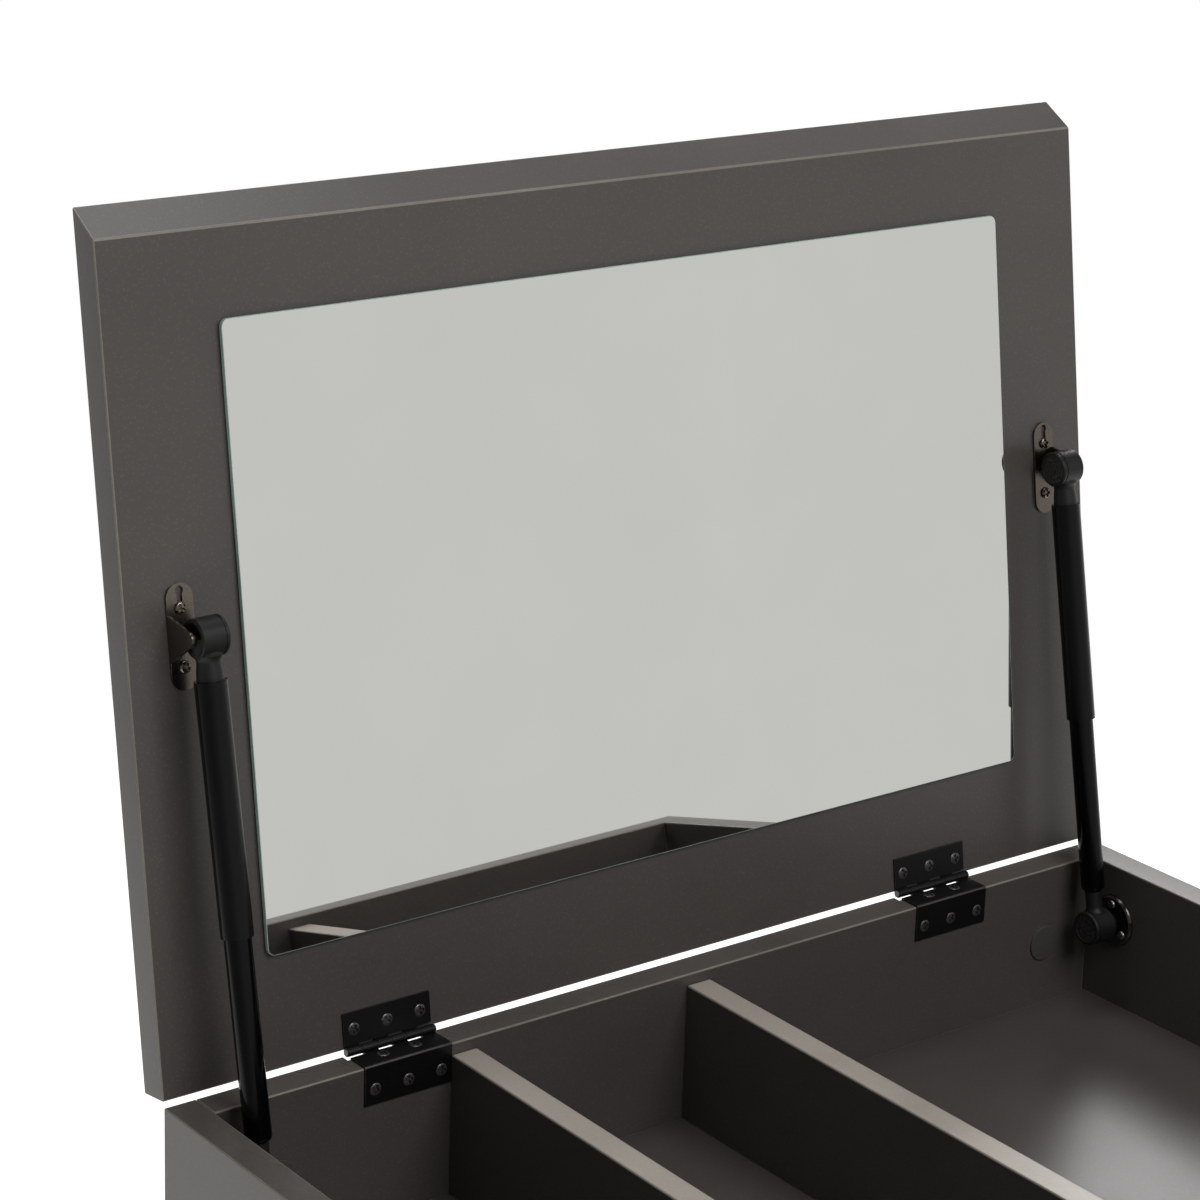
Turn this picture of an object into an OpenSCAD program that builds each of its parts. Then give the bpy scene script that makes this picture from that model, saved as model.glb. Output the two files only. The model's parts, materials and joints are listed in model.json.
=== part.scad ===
// Flip-top vanity table: a shallow divided case on four legs, with a lid that
// carries the mirror, two hinges and two gas struts. Millimetres, +Z up.

/* [Case] */
// Overall width of the case and lid
case_w = 600; // [520:5:800]
// Depth of the case, front face to back face
case_d = 400; // [340:5:500]
// Height of the case panels
case_h = 100; // [95:1:150]
// Height of the case top above the floor
table_h = 735; // [500:5:900]
// Thickness of the side, front and rear boards
board_t = 17; // [16:0.5:22]
// Thickness of the floor board
floor_t = 17; // [14:0.5:20]
// Clear depth inside the case, from its top edge to the floor board
tray_depth = 80; // [72:1:82]
// Thickness of the two dividers
divider_t = 15; // [12:0.5:18]
// How far the dividers stop below the case top
divider_drop = 6; // [5:0.5:15]
// Clear width of the left bay
left_bay_w = 132.2; // [115:0.1:170]
// Clear width of the middle bay
mid_bay_w = 130.3; // [80:0.1:180]

/* [Lid and mirror] */
// Thickness of the lid board
lid_t = 17; // [15:0.5:22]
// Width of the sloped finger pull along the lid's front edge
pull_w = 14; // [8:1:20]
// How far the lid opens from closed
open_angle = 98.3; // [92:0.1:100]
// Width of the mirror
mirror_w = 480; // [300:5:490]
// Height of the mirror
mirror_h = 300; // [200:5:320]
// Thickness of the mirror glass
mirror_t = 3; // [2:0.5:4]
// Corner radius of the mirror
mirror_r = 4; // [2:0.5:12]
// Distance from the lid's rear edge to the mirror
mirror_inset = 56; // [50:1:70]

/* [Hinges] */
// Length of each hinge along its pin
hinge_w = 50; // [44:1:60]
// Thickness of the hinge leaves
leaf_t = 1; // [0.8:0.1:1.5]
// Outer radius of the hinge knuckles
knuckle_r = 2.2; // [2.1:0.1:3]
// Radius of the hinge pin
pin_r = 1.2; // [0.8:0.1:1.3]
// Reach of the upper leaf on the lid, from the pin
lid_leaf_len = 18.7; // [16:0.1:24]
// Drop of the lower leaf down the rear panel's inner face
case_leaf_drop = 19.6; // [16:0.1:26]

/* [Gas struts] */
// Distance from a side panel's inner face to the strut's centre plane
strut_inset = 14; // [13:0.5:20]
// Distance from the lid's rear edge to the upper ball, along the lid
ball_along = 216.4; // [200:0.2:225]
// Distance from the lid's underside to the upper ball
ball_off = 18.4; // [15:0.2:22]
// Distance from the rear face of the case to the lower ball
base_y = 36.7; // [34:0.1:50]
// Distance from the case top down to the lower ball
base_z = 31.6; // [28:0.1:40]
// Outer radius of the strut's cylinder
cyl_r = 6.5; // [5:0.1:7]
// Radius of the piston rod
rod_r = 3; // [2:0.1:4]
// Wall of the sleeve that covers the rod
sleeve_wall = 0.9; // [0.6:0.1:1.5]
// Outer radius of the ball sockets
socket_r = 9.4; // [8:0.1:10]
// Radius of the round plates that hold the lower balls
base_r = 14.75; // [14:0.25:18]

/* [Legs] */
// Radius of a leg at its top
leg_top_r = 20; // [16:0.5:26]
// Radius of a leg at its foot
leg_foot_r = 12.5; // [10:0.5:16]
// Side of the square mounting plates
plate_w = 70; // [60:1:90]
// Thickness of the mounting plates
plate_t = 3; // [2:0.5:3]
// Thickness of the glides under the legs
glide_t = 5; // [3:0.5:8]

/* [Hidden] */
$fn = 64;

// Colours
board_colour = [0.30, 0.29, 0.28];
black_metal = [0.07, 0.07, 0.08];
nickel = [0.62, 0.58, 0.53];
plastic = [0.16, 0.16, 0.17];

// Named clearances
screw_gap = 0.05;    // round a screw in its hole
pin_gap = 0.05;      // round the hinge pin
knuckle_gap = 0.2;   // between neighbouring knuckles
lid_clear = 0.3;     // between the knuckles and the closed lid
divider_gap = 0.2;   // between the left hinge and the divider beside it
rod_gap = 0.06;      // round the piston rod in the cylinder's gland
sleeve_gap = 0.35;   // between the cylinder and the sleeve over it
stud_gap = 0.3;      // between the bracket flange and the stud that meets it
bore_gap = 0.03;     // round dowels, cams and bolts
ball_gap = 0.3;      // between a ball and its socket

// Case
half_w = case_w / 2;
inner_half_w = half_w - board_t;
floor_top = -tray_depth;
floor_bottom = floor_top - floor_t;
divider_top = -divider_drop;
divider_x = [-inner_half_w + left_bay_w,
    -inner_half_w + left_bay_w + divider_t + mid_bay_w];

// Hinges: the pin lies behind the lid's rear edge, level with the gap
axis_y = -(knuckle_r - 0.55);
axis_z = knuckle_r;
lid_gap = 2 * knuckle_r + lid_clear;
lid_rear_y = axis_y - 0.52;
hinge_x = inner_half_w - left_bay_w + hinge_w / 2 + divider_gap;
knuckles = 6;
knuckle_pitch = hinge_w / knuckles;
screw_r = 1.5;
screw_head_r = 3.25;
screw_head_h = 1.8;
screw_len = 14;
hinge_screw_pitch = hinge_w * 0.38;
top_screw_pitch = hinge_w * 0.37;
recess_d = knuckle_r * 2;
recess_h = 2.6;

// Lid: its underside ends flush with the case front when it is closed
lid_under_len = case_d + lid_rear_y;
lid_top_len = lid_under_len + pull_w;
tape_t = 0.5;

// Cam fittings
cam_in = 34;
cam_r = 7.5;
cam_h = 12.5;
cam_z = -44;
cam_cap_r = 10;
cam_cap_t = 1.2;
cam_bolt_r = 3.5;
cam_thread_r = 2.5;
cam_thread_len = 11;
dowel_r = 4;
dowel_len = 30;
dowel_in_side = 10;
dowel_z = [-20, -68];

// Struts, measured from the lower ball at rest and with the lid closed
strut_x = inner_half_w - strut_inset;
ball_r = 4.5;
base_ball = [-base_y, -base_z];
closed_ball = [lid_rear_y - ball_along, lid_gap - ball_off];
function turned(p, a) = [
    axis_y + (p[0] - axis_y) * cos(a) - (p[1] - axis_z) * sin(a),
    axis_z + (p[0] - axis_y) * sin(a) + (p[1] - axis_z) * cos(a)];
open_ball = turned(closed_ball, -open_angle);
strut_len = norm(open_ball - base_ball);
strut_closed_len = norm(closed_ball - base_ball);
strut_lean = atan2(open_ball[0] - base_ball[0], open_ball[1] - base_ball[1]);
stroke = strut_len - strut_closed_len;
end_len = 20;                                    // ball centre to the end of a tube
sleeve_in_r = cyl_r + sleeve_gap;
sleeve_r = sleeve_in_r + sleeve_wall;
sleeve_top = strut_len - end_len;
cyl_top = sleeve_top - stroke - 8;
rod_bottom = cyl_top - 12;
rod_into_socket = 8;
sleeve_bottom = end_len + stroke + 24;
socket_near = 6.5;                               // ball centre to the socket's open side
socket_far = 8;                                  // ball centre to the socket's capped side
stud_reach = socket_near + 1.2;                  // ball centre to the end of the upper stud
stud_r = 2.5;
base_t = 2.5;
base_screw_r = 1.25;
base_screw_head_r = 2.4;
base_screw_len = 10;
base_screw_at = 10.2;
flange_t = 1.5;
bracket_w = 14;
bracket_len = 50;
bracket_t = 1.5;
bracket_end = ball_along - 26.9;                 // bracket's end nearer the hinges
bracket_screw_at = [11, 38.6];                   // from that end
bracket_x = strut_x + stud_reach + stud_gap + flange_t - bracket_w / 2;
bracket_screw_len = 14;

// Legs
leg_in = board_t + 1 + plate_w / 2;
plate_bottom = floor_bottom - plate_t;
leg_len = table_h + plate_bottom - glide_t;
bolt_r = 4;
bolt_in_leg = 40;
bolt_above_plate = 5;
plate_screw_at = plate_w / 2 - 9;

// The frame's origin: on the floor, below the middle of the open object
open_back = turned([lid_rear_y - lid_top_len, lid_gap + lid_t], -open_angle)[0];
origin_y = (open_back - case_d) / 2;

module place() {
    translate([0, -origin_y, table_h]) children();
}

// Turns what is drawn in the closed position to the open position
module opened() {
    translate([0, axis_y, axis_z])
        rotate([-open_angle, 0, 0])
            translate([0, -axis_y, -axis_z])
                children();
}

// Extrudes an outline of (y, z) points along X from x0
module along_x(x0, len) {
    translate([x0, 0, 0]) rotate([90, 0, 90]) linear_extrude(len) children();
}

// A cylinder along X whose middle is at (x, y, z)
module rod_x(x, y, z, r, len) {
    translate([x - len / 2, y, z]) rotate([0, 90, 0]) cylinder(r = r, h = len);
}

// A countersunk screw pointing down, its head flush with z = 0
module screw(r, head_r, head_h, len, gap) {
    translate([0, 0, -head_h]) cylinder(r1 = r + gap, r2 = head_r + gap, h = head_h + gap / 10);
    translate([0, 0, -len]) cylinder(r = r + gap, h = len);
}

module cross_recess(size) {
    for (a = [0, 90])
        rotate([0, 0, a]) translate([-size / 2, -size / 8, -0.9]) cube([size, size / 4, 1]);
}

// Places its children at both ends of the case, mirrored on the left
module both_ends() {
    children();
    mirror([1, 0, 0]) children();
}

module on_side(side) {
    if (side > 0) children();
    else mirror([1, 0, 0]) children();
}

// ---------- places of the fixings ----------

// Countersunk screws of the lower hinge leaves: three in the drop, two on top
module case_screw_places() {
    for (s = [-1, 1]) translate([s * hinge_x, 0, 0]) {
        for (i = [-1:1])
            translate([i * hinge_screw_pitch, -board_t - leaf_t, -case_leaf_drop * 0.6])
                rotate([90, 0, 0]) children();
        for (i = [-0.5, 0.5])
            translate([i * top_screw_pitch, -9.4, leaf_t]) children();
    }
}

// Countersunk screws of the upper hinge leaves, drawn with the lid closed
module lid_screw_places() {
    for (s = [-1, 1], i = [-1:1])
        translate([s * hinge_x + i * hinge_screw_pitch, axis_y - 10, lid_gap - leaf_t])
            rotate([180, 0, 0]) children();
}

// Screws of the strut brackets, drawn with the lid closed
module bracket_screw_places() {
    both_ends()
        for (d = bracket_screw_at)
            translate([bracket_x, lid_rear_y - bracket_end - d, lid_gap - bracket_t])
                rotate([180, 0, 0]) children();
}

// Screws of the round plates at the struts' lower ends
module base_screw_places() {
    both_ends()
        translate([inner_half_w - base_t, base_ball[0], base_ball[1]])
            rotate([0, -90, 0])
                for (a = [0, 120, 240])
                    rotate([0, 0, a]) translate([base_screw_at, 0, 0]) children();
}

module leg_places() {
    both_ends()
        for (y = [-leg_in, leg_in - case_d])
            translate([half_w - leg_in, y, 0]) children();
}

module plate_screw_places() {
    leg_places()
        for (x = [-1, 1], y = [-1, 1])
            translate([x * plate_screw_at, y * plate_screw_at, plate_bottom])
                rotate([180, 0, 0]) children();
}

// Cam fittings: at the ends of the rear and front panels, facing inwards
module cam_places() {
    both_ends() {
        translate([inner_half_w - cam_in, -board_t, cam_z]) rotate([90, 0, 0]) children();
        translate([inner_half_w - cam_in, board_t - case_d, cam_z]) rotate([-90, 0, 0]) children();
    }
}

// Dowels and cam bolts run along X between an end panel and a side panel
module end_joint_places(heights) {
    both_ends()
        for (y = [-board_t / 2, board_t / 2 - case_d], z = heights)
            translate([inner_half_w, y, z]) rotate([0, 90, 0]) children();
}

// ---------- holes ----------

module case_screw_holes() {
    case_screw_places() screw(screw_r, screw_head_r, screw_head_h, screw_len, screw_gap);
}

module lid_screw_holes() {
    lid_screw_places() screw(screw_r, screw_head_r, screw_head_h, screw_len, screw_gap);
}

module joint_holes() {
    end_joint_places(dowel_z)
        translate([0, 0, dowel_in_side - dowel_len])
            cylinder(r = dowel_r + bore_gap, h = dowel_len);
    end_joint_places([cam_z]) {
        translate([0, 0, -cam_in]) cylinder(r = cam_bolt_r + bore_gap, h = cam_in);
        cylinder(r = cam_thread_r + bore_gap, h = cam_thread_len);
    }
    cam_places() translate([0, 0, -cam_h]) cylinder(r = cam_r + bore_gap, h = cam_h + 1);
}

// ---------- case ----------

module side_panel(side) {
    color(board_colour) place() difference() {
        on_side(side) translate([inner_half_w, -case_d, -case_h]) cube([board_t, case_d, case_h]);
        joint_holes();
        base_screw_places()
            translate([0, 0, -base_screw_len])
                cylinder(r = base_screw_r + screw_gap, h = base_screw_len);
    }
}

module rear_panel() {
    color(board_colour) place() difference() {
        translate([-inner_half_w, -board_t, -case_h]) cube([2 * inner_half_w, board_t, case_h]);
        joint_holes();
        case_screw_holes();
        for (s = [-1, 1])
            translate([s * hinge_x - hinge_w / 2 - 1, -recess_d, -recess_h])
                cube([hinge_w + 2, recess_d + 1, recess_h + 1]);
    }
}

module front_panel() {
    color(board_colour) place() difference() {
        translate([-inner_half_w, -case_d, -case_h]) cube([2 * inner_half_w, board_t, case_h]);
        joint_holes();
    }
}

module floor_panel() {
    color(board_colour) place() difference() {
        translate([-inner_half_w, board_t - case_d, floor_bottom])
            cube([2 * inner_half_w, case_d - 2 * board_t, floor_t]);
        plate_screw_places() screw(2, 3.6, 2, floor_t - 3, screw_gap);
        leg_places() translate([0, 0, floor_bottom - 1])
            cylinder(r = bolt_r + 1, h = bolt_above_plate + 3);
    }
}

module divider(i) {
    color(board_colour) place()
        translate([divider_x[i], board_t - case_d, floor_top])
            cube([divider_t, case_d - 2 * board_t, tray_depth - divider_drop]);
}

module dowels() {
    color("burlywood") place()
        end_joint_places(dowel_z)
            translate([0, 0, dowel_in_side - dowel_len]) cylinder(r = dowel_r, h = dowel_len);
}

// Each bolt is threaded into the side panel and ends inside its cam
module cam_bolts() {
    color(nickel) place() end_joint_places([cam_z]) {
        translate([0, 0, -cam_in + cam_r + bore_gap * 2])
            cylinder(r = cam_bolt_r, h = cam_in - cam_r - bore_gap * 2);
        cylinder(r = cam_thread_r, h = cam_thread_len);
    }
}

module cam_locks() {
    color(nickel) place() cam_places() difference() {
        translate([0, 0, -cam_h]) cylinder(r = cam_r, h = cam_h);
        cross_recess(8);
    }
}

module cam_caps() {
    color(board_colour) place() cam_places() {
        cylinder(r = cam_cap_r, h = cam_cap_t / 2);
        translate([0, 0, cam_cap_t / 2])
            cylinder(r1 = cam_cap_r, r2 = cam_cap_r - cam_cap_t / 2, h = cam_cap_t / 2);
    }
}

// ---------- legs ----------

module leg_place(side, rear) {
    place() translate([side * (half_w - leg_in), rear ? -leg_in : leg_in - case_d, 0]) children();
}

module leg_plate(side, rear) {
    color(black_metal) leg_place(side, rear) difference() {
        translate([-plate_w / 2, -plate_w / 2, plate_bottom]) cube([plate_w, plate_w, plate_t]);
        translate([0, 0, plate_bottom - 1]) cylinder(r = bolt_r + bore_gap, h = plate_t + 2);
        for (x = [-1, 1], y = [-1, 1])
            translate([x * plate_screw_at, y * plate_screw_at, plate_bottom])
                rotate([180, 0, 0]) screw(2, 3.6, 2, floor_t, screw_gap);
    }
}

module leg_plate_screws() {
    color(nickel) place() plate_screw_places() difference() {
        screw(2, 3.6, 2, floor_t - 3, 0);
        cross_recess(3.6);
    }
}

module hanger_bolts() {
    color(nickel) place() leg_places()
        translate([0, 0, plate_bottom - bolt_in_leg])
            cylinder(r = bolt_r, h = bolt_in_leg + plate_t + bolt_above_plate);
}

module leg(side, rear) {
    color(black_metal) leg_place(side, rear) difference() {
        translate([0, 0, plate_bottom - leg_len])
            cylinder(r1 = leg_foot_r, r2 = leg_top_r, h = leg_len);
        translate([0, 0, plate_bottom - bolt_in_leg - 1])
            cylinder(r = bolt_r + bore_gap, h = bolt_in_leg + 2);
    }
}

module glide(side, rear) {
    color(plastic) leg_place(side, rear) translate([0, 0, -table_h]) {
        cylinder(r1 = leg_foot_r - 2.5, r2 = leg_foot_r - 1.5, h = 1);
        translate([0, 0, 1]) cylinder(r = leg_foot_r - 1.5, h = glide_t - 1);
    }
}

// ---------- hinges ----------

// The span along X of knuckle i, as [start, length]
function knuckle_span(i) = [-hinge_w / 2 + i * knuckle_pitch + knuckle_gap / 2,
    knuckle_pitch - knuckle_gap];

module knuckle_row(first) {
    for (i = [first:2:knuckles - 1])
        along_x(knuckle_span(i)[0], knuckle_span(i)[1])
            translate([axis_y, axis_z]) circle(r = knuckle_r);
}

// Strips that join a leaf lying at height z to its knuckles
module knuckle_strips(first, reach, z) {
    for (i = [first:2:knuckles - 1])
        translate([knuckle_span(i)[0], axis_y - reach, z])
            cube([knuckle_span(i)[1], reach, leaf_t]);
}

// The lower leaf: along the top of the rear panel, then down its inner face
module case_leaf(side) {
    plate_y = -recess_d - 0.6;
    color(black_metal) place() difference() {
        translate([side * hinge_x, 0, 0]) difference() {
            union() {
                translate([-hinge_w / 2, -board_t - leaf_t, 0])
                    cube([hinge_w, board_t + leaf_t + plate_y, leaf_t]);
                translate([-hinge_w / 2, -board_t - leaf_t, -case_leaf_drop])
                    cube([hinge_w, leaf_t, case_leaf_drop + leaf_t]);
                knuckle_strips(1, axis_y - plate_y, 0);
                knuckle_row(1);
            }
            rod_x(0, axis_y, axis_z, pin_r + pin_gap, hinge_w + 2);
        }
        case_screw_holes();
    }
}

// The upper leaf lies flat on the lid's underside
module lid_leaf(side) {
    color(black_metal) place() opened() difference() {
        translate([side * hinge_x, 0, 0]) difference() {
            union() {
                translate([-hinge_w / 2, axis_y - lid_leaf_len, lid_gap - leaf_t])
                    cube([hinge_w, lid_leaf_len - knuckle_r - 0.4, leaf_t]);
                knuckle_strips(0, knuckle_r + 0.4, lid_gap - leaf_t);
                knuckle_row(0);
            }
            rod_x(0, axis_y, axis_z, pin_r + pin_gap, hinge_w + 2);
        }
        lid_screw_holes();
    }
}

module hinge_pin(side) {
    color(black_metal) place() translate([side * hinge_x, 0, 0]) {
        rod_x(0, axis_y, axis_z, pin_r, hinge_w);
        for (s = [-1, 1]) rod_x(s * (hinge_w / 2 + 0.3), axis_y, axis_z, knuckle_r - 0.4, 0.6);
    }
}

module hinge_case_screws() {
    color(black_metal) place() case_screw_places() difference() {
        screw(screw_r, screw_head_r, screw_head_h, screw_len, 0);
        cross_recess(3.4);
    }
}

module hinge_lid_screws() {
    color(black_metal) place() opened() lid_screw_places() difference() {
        screw(screw_r, screw_head_r, screw_head_h, screw_len, 0);
        cross_recess(3.4);
    }
}

// ---------- lid ----------

module lid_board() {
    color(board_colour) place() opened() difference() {
        along_x(-half_w, case_w) polygon([
            [lid_rear_y, lid_gap], [lid_rear_y - lid_under_len, lid_gap],
            [lid_rear_y - lid_top_len, lid_gap + lid_t], [lid_rear_y, lid_gap + lid_t]]);
        lid_screw_holes();
        bracket_screw_places()
            translate([0, 0, -bracket_screw_len])
                cylinder(r = screw_r + screw_gap, h = bracket_screw_len);
    }
}

module mirror_outline(inset) {
    w = mirror_w - 2 * inset;
    h = mirror_h - 2 * inset;
    square([w - 2 * mirror_r, h], center = true);
    square([w, h - 2 * mirror_r], center = true);
    for (x = [-1, 1], y = [-1, 1])
        translate([x * (w / 2 - mirror_r), y * (h / 2 - mirror_r)]) circle(r = mirror_r);
}

module mirror_place(depth) {
    translate([0, lid_rear_y - mirror_inset - mirror_h / 2, lid_gap - depth]) children();
}

module mirror_glass() {
    color("lightblue") place() opened() mirror_place(mirror_t)
        linear_extrude(mirror_t - tape_t) mirror_outline(0);
}

module mirror_tape() {
    color("white") place() opened() mirror_place(tape_t)
        linear_extrude(tape_t) mirror_outline(3);
}

// The end bracket: a slotted plate with a triangular flange that holds the ball
module strut_bracket(side) {
    end_r = bracket_w / 2;
    flange_x = bracket_x + bracket_w / 2 - flange_t;
    root_y = [lid_rear_y - ball_along - 9, lid_rear_y - ball_along + 14];
    color(nickel) place() opened() on_side(side) difference() {
        union() {
            translate([bracket_x, lid_rear_y - bracket_end - bracket_len / 2, lid_gap - bracket_t])
                linear_extrude(bracket_t) {
                    square([bracket_w, bracket_len - bracket_w], center = true);
                    for (s = [-1, 1])
                        translate([0, s * (bracket_len / 2 - end_r)]) circle(r = end_r);
                }
            along_x(flange_x, flange_t) {
                polygon([[root_y[0], lid_gap - bracket_t / 2], [closed_ball[0] - 4, closed_ball[1]],
                    [closed_ball[0] + 4, closed_ball[1]], [root_y[1], lid_gap - bracket_t / 2]]);
                translate(closed_ball) circle(r = 4);
            }
        }
        translate([bracket_x, lid_rear_y - bracket_end - bracket_screw_at[1], lid_gap - bracket_t - 1])
            linear_extrude(bracket_t + 2) {
                circle(r = screw_r + screw_gap);
                translate([-screw_r, 0]) translate([0, -8]) square([2 * screw_r, 8]);
                translate([0, -8]) circle(r = screw_r + 0.6);
            }
        translate([bracket_x, lid_rear_y - bracket_end - bracket_screw_at[0], lid_gap - bracket_t - 1])
            cylinder(r = screw_r + screw_gap, h = bracket_t + 2);
    }
}

module pan_screw(r, head_r, len) {
    difference() {
        union() {
            cylinder(r = head_r, h = 0.8);
            translate([0, 0, 0.8]) cylinder(r1 = head_r, r2 = head_r - 0.8, h = 0.8);
        }
        translate([0, 0, 1.6]) cross_recess(3);
    }
    translate([0, 0, -len]) cylinder(r = r, h = len);
}

module bracket_screws() {
    color(nickel) place() opened() bracket_screw_places() pan_screw(screw_r, 3, bracket_screw_len);
}

// ---------- gas struts ----------

// Draws along +Z from the lower ball, then leans it to the open position
module strut_place(side) {
    place() on_side(side)
        translate([strut_x, base_ball[0], base_ball[1]])
            rotate([-strut_lean, 0, 0]) children();
}

// A ball socket across the strut, open towards the side panel, and its neck
module socket_body(neck_r, up) {
    difference() {
        union() {
            rotate([0, 90, 0]) translate([0, 0, -socket_far + 1.2])
                cylinder(r = socket_r, h = socket_near + socket_far - 1.2);
            rotate([0, -90, 0]) translate([0, 0, socket_far - 1.2])
                cylinder(r1 = socket_r, r2 = socket_r - 1.2, h = 1.2);
            translate([0, 0, up > 0 ? 0 : -end_len]) cylinder(r = neck_r, h = end_len);
        }
        rotate([0, 90, 0]) rotate_extrude() intersection() {
            union() {
                circle(r = ball_r + ball_gap);
                square([ball_r - 0.6, socket_near + 1]);
                translate([0, socket_near - 1.5]) square([socket_r - 2, 3]);
            }
            translate([0, -socket_far]) square([socket_r, socket_far + socket_near + 2]);
        }
    }
}

module strut_base(side) {
    color(black_metal) place() on_side(side)
        translate([inner_half_w, base_ball[0], base_ball[1]]) rotate([0, -90, 0]) difference() {
            union() {
                cylinder(r = base_r, h = base_t / 2);
                translate([0, 0, base_t / 2])
                    cylinder(r1 = base_r, r2 = base_r - 1, h = base_t / 2);
                translate([0, 0, base_t]) cylinder(r1 = 5.5, r2 = 2.8, h = 3);
                cylinder(r = 2.8, h = strut_inset);
                translate([0, 0, strut_inset]) sphere(r = ball_r);
            }
            for (a = [0, 120, 240]) rotate([0, 0, a]) translate([base_screw_at, 0, -1])
                cylinder(r = base_screw_r + screw_gap, h = base_t + 2);
        }
}

module strut_base_screws() {
    color(nickel) place() base_screw_places() {
        translate([0, 0, -base_screw_len]) cylinder(r = base_screw_r, h = base_screw_len);
        difference() {
            cylinder(r1 = base_screw_head_r, r2 = base_screw_head_r - 0.7, h = 1.3);
            translate([0, 0, 1.3]) cross_recess(2.6);
        }
    }
}

module lower_socket(side) {
    color(plastic) strut_place(side) socket_body(4.6, 1);
}

// The cylinder: rounded at its lower end, with a gland for the rod at its top
module strut_cylinder(side) {
    shoulder = 3;
    color(black_metal) strut_place(side) translate([0, 0, end_len]) rotate_extrude() difference() {
        union() {
            translate([0, shoulder]) square([cyl_r, cyl_top - end_len - shoulder]);
            square([cyl_r - shoulder, shoulder]);
            intersection() {
                translate([cyl_r - shoulder, shoulder]) circle(r = shoulder);
                square([cyl_r, shoulder]);
            }
        }
        translate([0, rod_bottom - stroke - 5 - end_len])
            square([rod_r + rod_gap, strut_len]);
    }
}

module strut_rod(side) {
    color(nickel) strut_place(side)
        translate([0, 0, rod_bottom])
            cylinder(r = rod_r, h = sleeve_top + rod_into_socket - rod_bottom);
}

module strut_sleeve(side) {
    color(black_metal) strut_place(side) rotate_extrude() difference() {
        translate([0, sleeve_bottom]) square([sleeve_r, sleeve_top - sleeve_bottom]);
        translate([0, sleeve_bottom - 1])
            square([sleeve_in_r, sleeve_top - 2 - sleeve_bottom + 1]);
        translate([0, sleeve_top - 3]) square([rod_r, 4]);
    }
}

module upper_socket(side) {
    color(plastic) strut_place(side) translate([0, 0, strut_len]) difference() {
        socket_body(7, -1);
        translate([0, 0, -end_len - 1]) cylinder(r = rod_r, h = rod_into_socket + 1);
    }
}

// The stud that the bracket holds: it rides with its socket
module upper_stud(side) {
    color(nickel) strut_place(side) translate([0, 0, strut_len]) rotate([0, 90, 0])
        rotate_extrude() intersection() {
            union() {
                circle(r = ball_r);
                square([stud_r, stud_reach]);
            }
            translate([0, -ball_r]) square([ball_r, ball_r + stud_reach]);
        }
}

side_panel(-1);  // side_panel_left
side_panel(1);  // side_panel_right
rear_panel();
front_panel();
floor_panel();
divider(0);  // divider_left
divider(1);  // divider_right
dowels();
cam_bolts();
cam_locks();
cam_caps();
leg_plate(-1, false);  // leg_plate_front_left
leg_plate(1, false);  // leg_plate_front_right
leg_plate(-1, true);  // leg_plate_rear_left
leg_plate(1, true);  // leg_plate_rear_right
leg_plate_screws();
hanger_bolts();
leg(-1, false);  // leg_front_left
leg(1, false);  // leg_front_right
leg(-1, true);  // leg_rear_left
leg(1, true);  // leg_rear_right
glide(-1, false);  // glide_front_left
glide(1, false);  // glide_front_right
glide(-1, true);  // glide_rear_left
glide(1, true);  // glide_rear_right
case_leaf(-1);  // hinge_left_case_leaf
case_leaf(1);  // hinge_right_case_leaf
hinge_pin(-1);  // hinge_left_pin
hinge_pin(1);  // hinge_right_pin
hinge_case_screws();
strut_base(-1);  // strut_base_left
strut_base(1);  // strut_base_right
strut_base_screws();
lid_board();
mirror_glass();
mirror_tape();
lid_leaf(-1);  // hinge_left_lid_leaf
lid_leaf(1);  // hinge_right_lid_leaf
hinge_lid_screws();
strut_bracket(-1);  // strut_bracket_left
strut_bracket(1);  // strut_bracket_right
bracket_screws();
strut_cylinder(-1);  // strut_left_cylinder
lower_socket(-1);  // strut_left_lower_socket
strut_rod(-1);  // strut_left_rod
strut_sleeve(-1);  // strut_left_sleeve
upper_socket(-1);  // strut_left_upper_socket
upper_stud(-1);  // strut_left_stud
strut_cylinder(1);  // strut_right_cylinder
lower_socket(1);  // strut_right_lower_socket
strut_rod(1);  // strut_right_rod
strut_sleeve(1);  // strut_right_sleeve
upper_socket(1);  // strut_right_upper_socket
upper_stud(1);  // strut_right_stud
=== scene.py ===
"""Dresses the flip-top vanity table for rendering: a divided case on four legs, a lid with a mirror,
two hinges and two gas struts. Lengths are in metres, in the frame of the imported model."""

import functools
import json
import logging
import math
from dataclasses import dataclass, field
from enum import Enum
from typing import Callable, Sequence

import bmesh
import bpy
import numpy as np
from mathutils import Matrix, Vector


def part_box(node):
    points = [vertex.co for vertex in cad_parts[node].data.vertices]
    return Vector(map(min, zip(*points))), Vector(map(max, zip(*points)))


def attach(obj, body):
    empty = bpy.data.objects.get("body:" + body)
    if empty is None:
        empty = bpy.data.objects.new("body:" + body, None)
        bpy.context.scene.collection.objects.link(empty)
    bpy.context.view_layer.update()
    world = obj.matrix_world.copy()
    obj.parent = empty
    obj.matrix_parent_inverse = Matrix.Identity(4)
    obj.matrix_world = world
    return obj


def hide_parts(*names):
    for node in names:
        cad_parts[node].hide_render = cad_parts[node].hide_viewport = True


# A shape that is being built, a finished object, and a point with the direction that it faces
Form = bmesh.types.BMesh
Piece = bpy.types.Object
Spot = tuple[Vector, Vector]

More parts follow.
